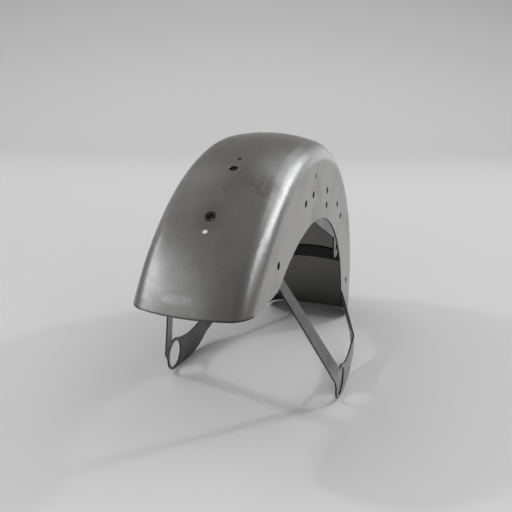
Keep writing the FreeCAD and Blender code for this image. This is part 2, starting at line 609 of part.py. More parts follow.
def rear_outline(body):
    """Side view of the eye and the rear strap, inside a frame that the trimming cut follows."""
    profile = Profile(body, "rear_outline", "XZ_Plane")
    eye, corner, depth = size.eye_hole / 2 + size.eye_rim, size.pad_corner, size.strap_depth
    pad_x, pad_z = size.stay_hole(size.stay_rear)
    pad_rules = stay_hole_rules("stay_rear")
    rear, roof, fold = pad_x - size.tab_end, pad_z + size.tab_end, pad_x + size.pad_lead

    heel = (-size.heel_back, size.heel_radius - size.eye_height)
    turn = math.atan2(heel[1], heel[0]) + math.acos((eye - size.heel_radius) / math.hypot(*heel))
    down = (math.cos(turn), math.sin(turn))
    toe = (eye * down[0], eye * down[1])
    sole = (heel[0] + size.heel_radius * down[0], heel[1] + size.heel_radius * down[1])

    bow = (size.saddle_back ** 2 + size.saddle_up ** 2 - eye ** 2) / (2 * (eye - size.saddle_up))
    saddle = (-size.saddle_back, size.saddle_up + bow)
    share = eye / (eye + bow)
    rise = math.radians(size.saddle_rise)
    seat = (saddle[0] - bow * math.sin(rise), saddle[1] - bow * math.cos(rise))

    def strap(x, below=0.0):
        """A point on the upper edge of the strap, or below it, at a place along X."""
        return (x, seat[1] + (seat[0] - x) * math.tan(rise) - below / math.cos(rise))

    span = (seat[0] - heel[0] - depth * math.sin(rise), seat[1] - heel[1] - depth * math.cos(rise))
    along = -span[0] * math.cos(rise) + span[1] * math.sin(rise)
    run = math.sqrt(along ** 2 + size.heel_radius ** 2 - span[0] ** 2 - span[1] ** 2) - along
    knee = strap(heel[0] + span[0] - run * math.cos(rise), depth)

    profile.begin(*toe)
    ring = profile.arc((0, 0), saddle[0] * share, saddle[1] * share, +1)
    bowl = profile.arc(saddle, *seat, -1, smooth=True)
    ramp = profile.line(*strap(fold), smooth=True)
    front = profile.line(fold, roof - corner)
    front_corner = profile.arc((fold - corner, roof - corner), fold - corner, roof, +1, smooth=True)
    top = profile.line(rear + corner, roof, smooth=True)
    rear_corner = profile.arc((rear + corner, roof - corner), rear, roof - corner, +1, smooth=True)
    back = profile.line(*strap(rear, depth), smooth=True)
    base = profile.line(*knee)
    belly = profile.arc(heel, *sole, +1)
    profile.line(*toe, smooth=True)
    profile.close(smooth=True)
    profile.rules("Vertical", front, back)
    profile.rule("Horizontal", top)
    profile.rule("Equal", front_corner, rear_corner)
    profile.rule("Parallel", base, ramp)
    profile.rule("Coincident", ring, Spot.CENTRE, *profile.origin)
    profile.size("eye", "dims.eye_hole / 2 + dims.eye_rim", "Radius", ring, eye)
    profile.point("heel_centre", belly, Spot.CENTRE, heel,
                  ("-dims.heel_back", "dims.heel_radius - dims.eye_height"))
    profile.size("heel", "dims.heel_radius", "Radius", belly, size.heel_radius)
    profile.size("depth", "dims.strap_depth", "Distance", base, Spot.END, ramp, depth)
    profile.across("saddle", bowl, Spot.CENTRE, saddle[0], "-dims.saddle_back")
    bow_rule = ("(dims.saddle_back ^ 2 + dims.saddle_up ^ 2 - (dims.eye_hole / 2 + dims.eye_rim) ^ 2)"
                " / (2 * (dims.eye_hole / 2 + dims.eye_rim - dims.saddle_up))")
    profile.size("bow", bow_rule, "Radius", bowl, bow)
    profile.across("seat", ramp, Spot.START, seat[0],
                   "-dims.saddle_back - sin(dims.saddle_rise) * (%s)" % bow_rule)
    profile.size("corner", "dims.pad_corner", "Radius", front_corner, corner)
    profile.across("fold", front, Spot.START, fold, pad_rules[0] + " + dims.pad_lead")
    profile.across("rear", back, Spot.END, rear, pad_rules[0] + " - dims.tab_end")
    profile.up("roof", top, Spot.START, roof, pad_rules[1] + " + dims.tab_end")
    far = size.overshoot - rear
    far_rule = "dims.tab_end + dims.overshoot - " + pad_rules[0]
    profile.box((-far, -size.eye_spread), (far, size.eye_spread),
                ("-(%s)" % far_rule, "-dims.eye_spread"), (far_rule, "dims.eye_spread"))
    return profile


def strap_taper(body, offset, ties, root, root_rule):
    """Narrows the front strap from the eye to the skirt, along both edges."""
    profile = Profile(body, "strap_taper", "XZ_Plane", offset)
    for prop, expression in ties:
        profile.bind(prop, expression)
    wide, narrow = size.strap_width / 2, size.strap_tip / 2
    beyond, far = size.tab_end + size.overshoot, size.strap_width
    for side, sign in ((+1, ""), (-1, "-")):
        profile.begin(root, side * wide)
        slant = profile.line(-size.strap_tab, side * narrow)
        edge = profile.line(beyond, side * narrow)
        end = profile.line(beyond, side * far)
        rim = profile.line(root, side * far)
        start = profile.line(root, side * wide)
        profile.close()
        profile.rules("Horizontal", edge, rim)
        profile.rules("Vertical", end, start)
        profile.point("root_%d" % slant, slant, Spot.START, (root, side * wide),
                      (root_rule, sign + "dims.strap_width / 2"))
        profile.point("tip_%d" % slant, slant, Spot.END, (-size.strap_tab, side * narrow),
                      ("-dims.strap_tab", sign + "dims.strap_tip / 2"))
        profile.point("far_%d" % slant, end, Spot.END, (beyond, side * far),
                      ("dims.tab_end + dims.overshoot", sign + "dims.strap_width"))
    cut_through(body, "strap_taper_cut", profile)


def stay():
    """The left stay: eye plate and rear strap from one folded strip, then the front strap and the holes."""
    body = new_body("left_stay", about_wheel=False)
    rear_x, rear_z = size.stay_hole(size.stay_rear)
    front_x, front_z = size.stay_hole(size.stay_front)
    rear_x_rule, rear_z_rule = stay_hole_rules("stay_rear")
    front_x_rule, front_z_rule = stay_hole_rules("stay_front")
    eye_y, eye_rule = (size.eye_spread + size.stay_plate) / 2, "(dims.eye_spread + dims.stay_plate) / 2"
    skirt_y, skirt_rule = size.half_width - size.sheet, "dims.half_width - dims.sheet"

    rear_strip = folded_strip(body, "rear_fold", Placement(Vector(), Rotation(Y_AXIS, 180)), [], [
        ((-size.eye_hole / 2 - size.overshoot, eye_y),
         ("-dims.eye_hole / 2 - dims.overshoot", eye_rule), None),
        ((size.toe_start, eye_y), ("dims.toe_start", eye_rule), "toe_bend"),
        ((size.plate_fold, eye_y - size.toe_in),
         ("dims.plate_fold", eye_rule + " - dims.toe_in"), "fold_bend"),
        ((-rear_x - size.pad_lead, skirt_y), ("-%s - dims.pad_lead" % rear_x_rule, skirt_rule), "tab_bend"),
        ((size.tab_end - rear_x, skirt_y), ("dims.tab_end - " + rear_x_rule, skirt_rule), None)])
    padded(body, "rear_strip", rear_strip, "2 * (%s + dims.tab_end + dims.overshoot)" % rear_z_rule)
    cut_through(body, "rear_trim", rear_outline(body))

    reach = math.hypot(front_x, front_z)
    reach_rule = "sqrt(%s ^ 2 + %s ^ 2)" % (front_x_rule, front_z_rule)
    run = math.sqrt(reach ** 2 - size.strap_lead ** 2)
    run_rule = "sqrt(%s ^ 2 - dims.strap_lead ^ 2)" % reach_rule
    root, root_rule = size.strap_root - run, "dims.strap_root - " + run_rule
    climb = math.degrees(math.atan2(front_z, front_x) + math.asin(size.strap_lead / reach))
    climb_rule = "(atan2(%s; %s) + asin(dims.strap_lead / %s))" % (front_z_rule, front_x_rule, reach_rule)
    front_strip = folded_strip(
        body, "front_fold", Placement(Vector(front_x, 0, front_z), Rotation(Y_AXIS, -climb)),
        [("AttachmentOffset.Base.x", front_x_rule), ("AttachmentOffset.Base.z", front_z_rule),
         ("AttachmentOffset.Rotation.Angle", "-" + climb_rule)],
        [((-run, eye_y), ("-" + run_rule, eye_rule), None),
         ((root, eye_y), (root_rule, eye_rule), "fold_bend"),
         ((-size.strap_tab, skirt_y), ("-dims.strap_tab", skirt_rule), "tab_bend"),
         ((size.tab_end, skirt_y), ("dims.tab_end", skirt_rule), None)])
    padded(body, "front_strip", front_strip, "dims.strap_width")
    strap_taper(body, Placement(Vector(front_x, front_z, 0), Rotation(Z_AXIS, climb)),
                [("AttachmentOffset.Base.x", front_x_rule), ("AttachmentOffset.Base.y", front_z_rule),
                 ("AttachmentOffset.Rotation.Angle", climb_rule)], root, root_rule)

    holes = Profile(body, "holes", "XZ_Plane")
    holes.middle_hole("eye_hole")
    holes.hole("front", (front_x, front_z), (front_x_rule, front_z_rule), "bolt_hole")
    holes.hole("rear", (rear_x, rear_z), (rear_x_rule, rear_z_rule), "bolt_hole")
    cut_through(body, "holes_cut", holes)
    return body


def mirrored(body, label):
    """The same piece for the right side."""
    twin = doc.addObject("Part::Mirroring", label)
    twin.Label = label
    twin.Source = body
    twin.Normal = Y_AXIS
    doc.recompute()
    return twin


def lamp_nut():
    """The captive nut welded under the dished hole in the crown."""
    body = doc.addObject("PartDesign::Body", "lamp_nut")
    body.Label = "lamp_nut"
    hexagon = body.newObject("PartDesign::AdditivePrism", "hexagon")
    hexagon.Polygon = 6
    hexagon.setExpression("Circumradius", "dims.nut_flats / sqrt(3)")
    hexagon.setExpression("Height", "dims.nut_height")
    bore = body.newObject("PartDesign::SubtractiveCylinder", "bore")
    bore.setExpression("Radius", "dims.nut_bore / 2")
    bore.setExpression("Height", "dims.nut_height")
    seat = "(dims.crown_radius - dims.sheet - dims.dish_depth - dims.seat_gap - dims.nut_height)"
    body.Placement = Placement(Vector(), Rotation(Y_AXIS, 90 - size.nut_angle))
    body.setExpression("Placement.Rotation.Angle", "90 - dims.nut_angle")
    body.setExpression("Placement.Base.x", seat + " * cos(dims.nut_angle) - dims.wheel_behind")
    body.setExpression("Placement.Base.z", seat + " * sin(dims.nut_angle) + dims.wheel_above")
    doc.recompute()
    return body


def write(pieces):
    """Checks every object and shape, then writes one file for each piece."""
    doc.recompute()
    faults = [item.Name for item in doc.Objects if "Invalid" in item.State or "Error" in item.State]
    for piece in pieces:
        if piece.Shape.isNull() or not piece.Shape.isValid() or len(piece.Shape.Solids) != 1:
            faults.append(piece.Label)
    if faults:
        raise RuntimeError("failed: " + ", ".join(faults))
    os.makedirs("parts", exist_ok=True)
    for piece in pieces:
        piece.Shape.exportStep("parts/%s.step" % piece.Label)
        print("%-20s %9.1f mm3" % (piece.Label, piece.Shape.Volume))


size = Size(driving_sheet())
left_stay, left_bracket = stay(), fork_bracket()
write([fender_shell(), rear_brace(), lamp_nut(), left_stay, mirrored(left_stay, "right_stay"),
       left_bracket, mirrored(left_bracket, "right_fork_bracket")])
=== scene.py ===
import math
from typing import NamedTuple

import bpy
import bmesh
from bpy.props import FloatProperty, FloatVectorProperty, PointerProperty
from mathutils import Matrix, Vector


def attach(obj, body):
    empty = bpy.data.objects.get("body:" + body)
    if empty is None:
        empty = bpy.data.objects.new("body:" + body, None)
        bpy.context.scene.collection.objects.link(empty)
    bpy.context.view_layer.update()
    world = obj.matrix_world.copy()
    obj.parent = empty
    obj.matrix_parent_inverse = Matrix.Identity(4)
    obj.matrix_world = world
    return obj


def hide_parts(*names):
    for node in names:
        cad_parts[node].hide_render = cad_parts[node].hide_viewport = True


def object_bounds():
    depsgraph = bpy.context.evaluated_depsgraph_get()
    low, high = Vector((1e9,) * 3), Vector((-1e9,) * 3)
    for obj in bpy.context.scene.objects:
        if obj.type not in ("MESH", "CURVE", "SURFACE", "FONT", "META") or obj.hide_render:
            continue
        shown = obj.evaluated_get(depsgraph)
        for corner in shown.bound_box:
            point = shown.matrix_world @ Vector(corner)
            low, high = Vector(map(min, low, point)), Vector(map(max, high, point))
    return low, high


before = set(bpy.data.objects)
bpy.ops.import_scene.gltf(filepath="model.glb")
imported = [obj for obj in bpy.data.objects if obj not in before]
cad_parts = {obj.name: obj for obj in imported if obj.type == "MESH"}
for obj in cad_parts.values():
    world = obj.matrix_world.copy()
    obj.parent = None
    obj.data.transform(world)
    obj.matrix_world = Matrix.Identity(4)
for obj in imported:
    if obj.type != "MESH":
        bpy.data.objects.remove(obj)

bl_info = {
    "name": "Bare Steel Front Fender",
    "version": (1, 0, 0),
    "blender": (4, 2, 0),
    "location": "View3D > Sidebar > Fender",
    "description": "Finishes a pressed steel motorcycle fender and sets it on a studio sweep",
    "category": "Object",
}


class Bite(NamedTuple):
    """A straight cut through both skirts: its upper rear corner in metres and its lean in degrees."""

    forward: float
    height: float
    lean: float


class Patch(NamedTuple):
    """A round mark on the crown: its middle and half sizes in metres, and where it starts to fade."""

    along: float
    across: float
    long: float
    wide: float
    core: float = 0.15


class Lamp(NamedTuple):
    """A lamp round the fender's middle, in degrees and metres, and the share that it takes of a power."""

    name: str
    heading: float
    rise: float
    distance: float
    width: float
    height: float
    power: str
    share: float = 1.0


CAD_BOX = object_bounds()
FLOOR = CAD_BOX[0][2]

CORNER_BITES = (Bite(-0.265, 0.056, 20), Bite(-0.273, 0.034, 40), Bite(-0.296, 0.006, 51))
BITE_SIZE = Vector((0.1, 0.2, 0.15))
MERGE_REACH = 1e-6
SMOOTH_ANGLE = math.radians(30)

# Where the masks on the sheet start and end, in metres: distances from the middle plane and the wheel
# centre, heights above the front lip, and heights in the shared frame.
SHOULDER = (0.06, 0.079)
SKIRT = (0.079, 0.0795)
FRONT = (0.0, 0.05)
# Painted shade along the front lip's lower edge, within this band above the lip.
LIP_EDGE = (0.0012, 0.0025)
# Painted shade inside the shell: darker towards the bottom between these heights.
INSIDE_SHADE_FADE = (0.12, -0.03)
# The plates' painted shade changes between these heights, from the lower faces to the upper straps.
STRAP_FADE = (0.015, 0.05)

# The sideways part of a face's normal, from a sheared edge to a flat side; sheared edges get painted shade
# and more roughness.
SHELL_EDGE = (0.3, 0.7)
PLATE_EDGE = (0.35, 0.7)

# Lines per metre of the press marks (along, across, out) and the rolling marks (forward, across, out).
PRESS_LINES = Vector((260, 26, 16))
ROLLING_LINES = Vector((30, 30, 400))

# Streaks wiped over the crown: their slant across and along it, and lines per metre over and down them.
WIPE_SLANT = Vector((0.96, 0.27))
WIPE_LINES = Vector((230, 14))

# Marks round a dish, which lie from its own place along the crown, and marks with a place of their own.
HALO_PATCH = Patch(0.0, 0.0, 0.030, 0.026)
# Painted shade: near-black spots that stand for the shade in the dished hole and the small dished hole.
DISH_SHADE_PATCH = Patch(0.0, 0.0, 0.0095, 0.0085, core=0.5)
PIN_SHADE_PATCH = Patch(0.0, 0.0, 0.004, 0.004, core=0.4)
STREAK_PATCH = Patch(0.403, 0.016, 0.045, 0.022)
RUST_PATCH = Patch(0.406, 0.053, 0.028, 0.028)
SCUFF_PATCH = Patch(0.218, -0.012, 0.008, 0.026)

# What each mark adds to the roughness.
HANDLED_DULL = 0.08
PRESSED_DULL = 0.1
MOTTLE_DULL = 0.08
SHEARED_DULL = 0.3
PLATE_DULL = 0.04
ROLLED_DULL = 0.1
PLATE_SHEARED_DULL = 0.25
SCALE_DULL = 0.3

# The paper sweep: the edge to bend lies within FLOOR_REACH of the floor, and the glow starts and is full at
# places behind the fender and loses a share by the top.
PAPER_ROUGHNESS = 0.8
BEND_STEPS = 24
FLOOR_REACH = 0.01
GLOW_START, GLOW_FULL = -0.2, -1.8
GLOW_LOSS = 0.7
BLACK = (0, 0, 0, 1)

# How nearly a way faces the room's dark side, from no effect to full effect, and the camera's sensor.
DARK_SIDE = (0.1, 1.0)
SENSOR_WIDTH = 36

# Lamps that show in the steel.
SOFTBOXES = (
    Lamp("right_softbox", 131, 26, 1.9, 1.4, 0.5, "right_power"),
    Lamp("side_softbox", 92, 33, 1.9, 1.1, 0.5, "right_power", 0.48),
    Lamp("shoulder_softbox", 138, 40, 1.9, 0.7, 0.4, "right_power", 0.18),
    Lamp("rear_softbox", 142, 52, 2.0, 1.9, 1.2, "rear_power"),
    Lamp("left_softbox", -68, 30, 1.9, 1.1, 0.5, "left_power"),
    Lamp("left_reflector", -38, 38, 2.0, 1.8, 0.7, "fill_power"),
    Lamp("left_rear_reflector", -118, 32, 2.0, 0.9, 2.0, "fill_power", 0.55),
    Lamp("right_rear_reflector", 160, 4, 2.2, 1.4, 0.55, "fill_power", 0.95),
)

# Lamps for the floor, kept out of the steel's reflections.
FLOOR_LAMPS = (
    Lamp("front_panel", 18, 54, 2.4, 2.4, 2.4, "floor_power", 0.4),
    Lamp("right_panel", 105, 55, 2.4, 2.0, 2.0, "floor_power", 0.3),
    Lamp("left_panel", -75, 55, 2.4, 2.0, 2.0, "floor_power", 0.3),
    Lamp("right_key", 121, 40, 2.2, 0.14, 0.14, "key_power"),
    Lamp("left_key", -70, 42, 2.2, 0.14, 0.14, "key_power"),
)


class FenderSizes(bpy.types.PropertyGroup):
    """Where the fender's own features lie."""

    wheel_centre: FloatVectorProperty(
        name="Wheel Centre", description="Centre that the shell is swept about", subtype="XYZ",
        unit="LENGTH", size=3, default=(-0.0235, 0.0, 0.0082))
    crown_radius: FloatProperty(
        name="Crown Radius", description="Outside of the crown from the wheel centre", unit="LENGTH",
        default=0.36)
    lip_height: FloatProperty(
        name="Lip Height", description="Height of the front lip's lower edge", unit="LENGTH", default=0.1947)
    dish_angle: FloatProperty(
        name="Dish Angle", description="Dished hole along the crown", subtype="ANGLE",
        default=math.radians(53.4))
    pin_angle: FloatProperty(
        name="Pin Angle", description="Small dished hole along the crown", subtype="ANGLE",
        default=math.radians(72.6))


class FenderFinish(bpy.types.PropertyGroup):
    """Colours and gloss of the bare steel."""

    steel: FloatVectorProperty(
        name="Steel", description="Clean bare sheet", subtype="COLOR", size=4, min=0, max=1,
        default=(0.46, 0.455, 0.44, 1))
    smudge: FloatVectorProperty(
        name="Smudge", description="Oily and handled sheet", subtype="COLOR", size=4, min=0, max=1,
        default=(0.33, 0.325, 0.31, 1))
    # Painted shade: the inside of the shell takes this darker colour; the stays and brackets also use it for
    # their smudges.
    inside_shade_and_smudge: FloatVectorProperty(
        name="Inside", description="Oily inside of the sheet", subtype="COLOR", size=4, min=0, max=1,
        default=(0.27, 0.265, 0.255, 1))
    plate: FloatVectorProperty(
        name="Plate", description="Stays and brackets", subtype="COLOR", size=4, min=0, max=1,
        default=(0.38, 0.377, 0.37, 1))
    stain: FloatVectorProperty(
        name="Stain", description="Brown stain on the shoulder", subtype="COLOR", size=4, min=0, max=1,
        default=(0.22, 0.2, 0.175, 1))
    scuff: FloatVectorProperty(
        name="Scuff", description="Pale rub near the front lip", subtype="COLOR", size=4, min=0, max=1,
        default=(0.8, 0.8, 0.79, 1))
    # Near-black colour: mill scale on the brace and nut and the wiped streaks, and also painted shade in the
    # dishes, along the front lip, on sheared edges, low inside the shell and on the plates' shaded faces.
    scale: FloatVectorProperty(
        name="Mill Scale", description="Dark scale on strip and sheared edges", subtype="COLOR", size=4,
        min=0, max=1, default=(0.05, 0.05, 0.05, 1))
    roughness: FloatProperty(
        name="Roughness", description="Gloss of the clean sheet", subtype="FACTOR", min=0, max=1,
        default=0.31)
    scale_roughness: FloatProperty(
        name="Scale Roughness", description="Gloss of the mill scale", subtype="FACTOR", min=0, max=1,
        default=0.55)


class FenderMarks(bpy.types.PropertyGroup):
    """How strongly each mark shows, from not at all to fully."""

    handled: FloatProperty(
        name="Handling", description="Cloudy smudges on the shell", subtype="FACTOR", min=0, max=1,
        default=0.65)
    mottle: FloatProperty(
        name="Mottle", description="Small mottling on the shell", subtype="FACTOR", min=0, max=1, default=0.3)
    pressed: FloatProperty(
        name="Press Marks", description="Lines from pressing, on the skirts", subtype="FACTOR", min=0, max=1,
        default=0.4)
    crown_share: FloatProperty(
        name="Crown Share", description="Share of the press marks that the crown shows", subtype="FACTOR",
        min=0, max=1, default=0.15)
    halo: FloatProperty(
        name="Halo", description="Dull ring round the dished hole", subtype="FACTOR", min=0, max=1,
        default=0.25)
    rust: FloatProperty(
        name="Rust", description="Brown stain on the shoulder", subtype="FACTOR", min=0, max=1, default=0.7)
    scuff: FloatProperty(
        name="Scuff", description="Pale rub near the front lip", subtype="FACTOR", min=0, max=1, default=0.6)
    # Painted shade: how dark the dished hole is painted.
    dish_shade: FloatProperty(
        name="Dish Shade", description="Black in the dished hole", subtype="FACTOR", min=0, max=1, default=0.9)
    # Painted shade: how dark the small dished hole is painted.
    pin: FloatProperty(
        name="Pin Soot", description="Black in the small dished hole", subtype="FACTOR", min=0, max=1,
        default=0.85)
    streaks: FloatProperty(
        name="Streaks", description="Wiped streaks over the crown", subtype="FACTOR", min=0, max=1,
        default=0.4)
    # Painted shade: a dark line along the front lip's lower edge.
    lip: FloatProperty(
        name="Lip", description="Dark edge of the front lip", subtype="FACTOR", min=0, max=1, default=0.7)
    # Painted shade: how much darker the inside of the shell is painted low down.
    inside_shade_and_smudge: FloatProperty(
        name="Lining", description="Dark inside, low down", subtype="FACTOR", min=0, max=1, default=0.5)
    plate_handled: FloatProperty(
        name="Plate Handling", description="Cloudy smudges on the stays and brackets", subtype="FACTOR",
        min=0, max=1, default=0.6)
    plate_blotches: FloatProperty(
        name="Plate Blotches", description="Small blotches on the stays and brackets", subtype="FACTOR",
        min=0, max=1, default=0.45)
    # Painted shade: how dark the upper, outward faces of the plates are painted.
    plate_outer_shade: FloatProperty(
        name="Plate Outside", description="Scale on the upper, outer faces of the plates", subtype="FACTOR",
        min=0, max=1, default=0.47)
    # Painted shade: how dark the lower, inward faces of the plates are painted.
    plate_inner_shade: FloatProperty(
        name="Plate Inside", description="Scale on the lower, inner faces of the plates", subtype="FACTOR",
        min=0, max=1, default=0.6)
    worn: FloatProperty(
        name="Worn Scale", description="Bare patches in the mill scale", subtype="FACTOR", min=0, max=1,
        default=0.3)


class FenderStage(bpy.types.PropertyGroup):
    """Camera, sweep and lamps; right and left are as the camera sees them."""

    camera_place: FloatVectorProperty(
        name="Camera", description="Where the camera stands", subtype="XYZ", unit="LENGTH", size=3,
        default=(1.0387, 0.3367, 0.5430))
    heading: FloatProperty(
        name="Heading", description="Way the camera looks, from +X", subtype="ANGLE",
        default=math.radians(198.02))
    pitch: FloatProperty(
        name="Pitch", description="Camera tilt", subtype="ANGLE", default=math.radians(-18.07))
    roll: FloatProperty(
        name="Roll", description="Camera turn about its own line of sight", subtype="ANGLE",
        default=math.radians(1.138))
    lens: FloatProperty(
        name="Lens", description="Focal length in millimetres", unit="CAMERA", default=52.91, min=1)
    sweep_colour: FloatVectorProperty(
        name="Sweep", description="Pale floor and backdrop", subtype="COLOR", size=4, min=0, max=1,
        default=(0.53, 0.53, 0.54, 1))
    backdrop_glow: FloatVectorProperty(
        name="Backdrop Glow", description="Light of the lit backdrop", subtype="COLOR", size=4, min=0, max=1,
        default=(0.23, 0.23, 0.23, 1))
    sweep_width: FloatProperty(
        name="Sweep Width", description="Width of the paper sweep", unit="LENGTH", default=4.2)
    sweep_front: FloatProperty(
        name="Sweep Front", description="Floor before the fender", unit="LENGTH", default=2.0)
    wall_distance: FloatProperty(
        name="Wall Distance", description="Backdrop behind the fender", unit="LENGTH", default=3.0)
    wall_height: FloatProperty(
        name="Wall Height", description="Top of the backdrop", unit="LENGTH", default=1.1)
    sweep_bend: FloatProperty(
        name="Sweep Bend", description="Radius between floor and backdrop", unit="LENGTH", default=0.9)
    room_light: FloatProperty(
        name="Room Light", description="Light of the room, all round", min=0, default=0.25)
    room_fall: FloatProperty(
        name="Room Fall", description="How much darker the room is on its dark side", min=0, default=0.13)
    room_dark: FloatProperty(
        name="Room Dark Side", description="Darkest way, from +X", subtype="ANGLE", default=math.radians(38))
    room_colour: FloatVectorProperty(
        name="Room Colour", description="Colour of the room's light", subtype="COLOR", size=4, min=0, max=1,
        default=(1, 0.985, 0.94, 1))
    lamp_colour: FloatVectorProperty(
        name="Lamp Colour", description="Colour of the softboxes", subtype="COLOR", size=3, min=0, max=1,
        default=(0.91, 0.935, 1))
    key_power: FloatProperty(
        name="Key Power", description="Each of the two small lamps that cast the stays' shadows",
        subtype="POWER", min=0, default=10)
    right_power: FloatProperty(
        name="Right Power", description="Softboxes along the right shoulder", subtype="POWER", min=0,
        default=6)
    rear_power: FloatProperty(
        name="Rear Power", description="Softbox above and behind the right shoulder", subtype="POWER", min=0,
        default=4.6)
    left_power: FloatProperty(
        name="Left Power", description="Softbox beside the left shoulder", subtype="POWER", min=0,
        default=3.5)
    fill_power: FloatProperty(
        name="Fill Power", description="Reflectors round the fender", subtype="POWER", min=0, default=1.6)
    floor_power: FloatProperty(
        name="Floor Power", description="Panels over the floor", subtype="POWER", min=0, default=66)


class Wire:
    """One output socket of a shader node; arithmetic on it adds Math nodes."""

    def __init__(self, graph, socket):
        self.graph = graph
        self.socket = socket

    def peer(self, name):
        """Another output of the same node."""
        return Wire(self.graph, self.socket.node.outputs[name])

    def math(self, operation, *others):
        return self.graph.make("ShaderNodeMath", {"operation": operation}, dict(enumerate((self,) + others)))

    def __add__(self, other):
        return self.math("ADD", other)

    def __sub__(self, other):
        return self.math("SUBTRACT", other)

    def __mul__(self, other):
        return self.math("MULTIPLY", other)

    def __truediv__(self, other):
        return self.math("DIVIDE", other)

    def __pow__(self, other):
        return self.math("POWER", other)

    def __abs__(self):
        return self.math("ABSOLUTE")

    __radd__ = __add__
    __rmul__ = __mul__

    def __rsub__(self, other):
        return self.graph.make("ShaderNodeMath", {"operation": "SUBTRACT"}, {0: other, 1: self})

    def __rtruediv__(self, other):
        return self.graph.make("ShaderNodeMath", {"operation": "DIVIDE"}, {0: other, 1: self})

    def ramp(self, low, high):
        """A smooth step from 0 at low to 1 at high."""
        return self.graph.make("ShaderNodeMapRange", {"interpolation_type": "SMOOTHSTEP"},
                               {"Value": self, "From Min": low, "From Max": high})

    def swing(self):
        """A noise about its middle."""
        return self - 0.5


class Graph:
    """Builds the nodes of one material or world."""

    def __init__(self, tree):
        self.tree = tree
        tree.nodes.clear()

    def make(self, kind, settings=None, inputs=None, output=0):
        """Adds a node, sets it up, feeds its sockets and hands back one of its outputs."""
        node = self.tree.nodes.new(kind)
        for name, setting in (settings or {}).items():
            setattr(node, name, setting)
        for key, feed in (inputs or {}).items():
            if isinstance(feed, Wire):
                self.tree.links.new(feed.socket, node.inputs[key])
            else:
                node.inputs[key].default_value = feed
        return Wire(self, node.outputs[output]) if node.outputs else None

    def vector(self, x, y, z):
        return self.make("ShaderNodeCombineXYZ", None, {"X": x, "Y": y, "Z": z})

    def dot(self, first, second):
        return self.make("ShaderNodeVectorMath", {"operation": "DOT_PRODUCT"}, {0: first, 1: second},
                         output="Value")

    def noise(self, place, scale, detail, roughness=0.55):
        return self.make("ShaderNodeTexNoise", None,
                         {"Vector": place, "Scale": scale, "Detail": detail, "Roughness": roughness})

    def blend(self, factor, first, second):
        """Mixes two colours."""
        return self.make("ShaderNodeMix", {"data_type": "RGBA"}, {0: factor, 6: first, 7: second}, output=2)

    def coats(self, colour, *coats):
        """Lays tints over a colour, one after another, each by its own factor."""
        for factor, tint in coats:
            colour = self.blend(factor, colour, tint)
        return colour

    def bump(self, height, strength, distance, below=None):
        inputs = {"Height": height, "Strength": strength, "Distance": distance}
        if below is not None:
            inputs["Normal"] = below
        return self.make("ShaderNodeBump", None, inputs)

    def finish(self, **inputs):
        """The Principled shader and the material's output."""
        sockets = {name.replace("_", " ").title(): feed for name, feed in inputs.items()}
        shader = self.make("ShaderNodeBsdfPrincipled", None, sockets)
        self.make("ShaderNodeOutputMaterial", None, {"Surface": shader})


class SheetPlace:
    """Coordinates on the swept sheet: along the crown, across it, and out from the wheel centre."""

    def __init__(self, graph):
        sizes = bpy.context.scene.fender_sizes
        centre = Vector(sizes.wheel_centre)
        self.place = graph.make("ShaderNodeTexCoord", output="Object")
        offset = graph.make("ShaderNodeVectorMath", {"operation": "SUBTRACT"}, {0: self.place, 1: centre})
        self.forward = graph.make("ShaderNodeSeparateXYZ", None, {0: offset}, output="X")
        self.across = self.forward.peer("Y")
        rise = self.forward.peer("Z")
        self.height = rise + centre.z
        turn = graph.make("ShaderNodeMath", {"operation": "ARCTAN2"}, {0: rise, 1: self.forward})
        self.along = turn * sizes.crown_radius
        self.out = (self.forward * self.forward + rise * rise) ** 0.5
        normal = graph.make("ShaderNodeNewGeometry", output="Normal")
        self.side = graph.make("ShaderNodeSeparateXYZ", None, {0: normal}, output="Y")
        self.outside = graph.dot(normal, offset).ramp(-0.01, 0.01)

    def spot(self, patch, start=0.0):
        """A round mark, 1 in its core and 0 at its rim, placed from a start along the crown."""
        x = (self.along - (start + patch.along)) / patch.long
        y = (self.across - patch.across) / patch.wide
        return 1 - (x * x + y * y).ramp(patch.core, 1.0)


def pick_edges(piece, test):
    """In edit mode, selects the edges whose ends both pass a test."""
    bpy.ops.mesh.select_all(action="DESELECT")
    mesh = bmesh.from_edit_mesh(piece.data)
    for edge in mesh.edges:
        if all(test(vert) for vert in edge.verts):
            edge.select_set(True)
    bmesh.update_edit_mesh(piece.data)


def new_material(name):
    """A material with an empty node tree, and the graph that fills it."""
    material = bpy.data.materials.new(name)
    material.use_nodes = True
    return material, Graph(material.node_tree)


def dress(material, *nodes):
    """Gives CAD nodes their finish."""
    for node in nodes:
        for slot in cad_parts[node].material_slots:
            slot.material = material


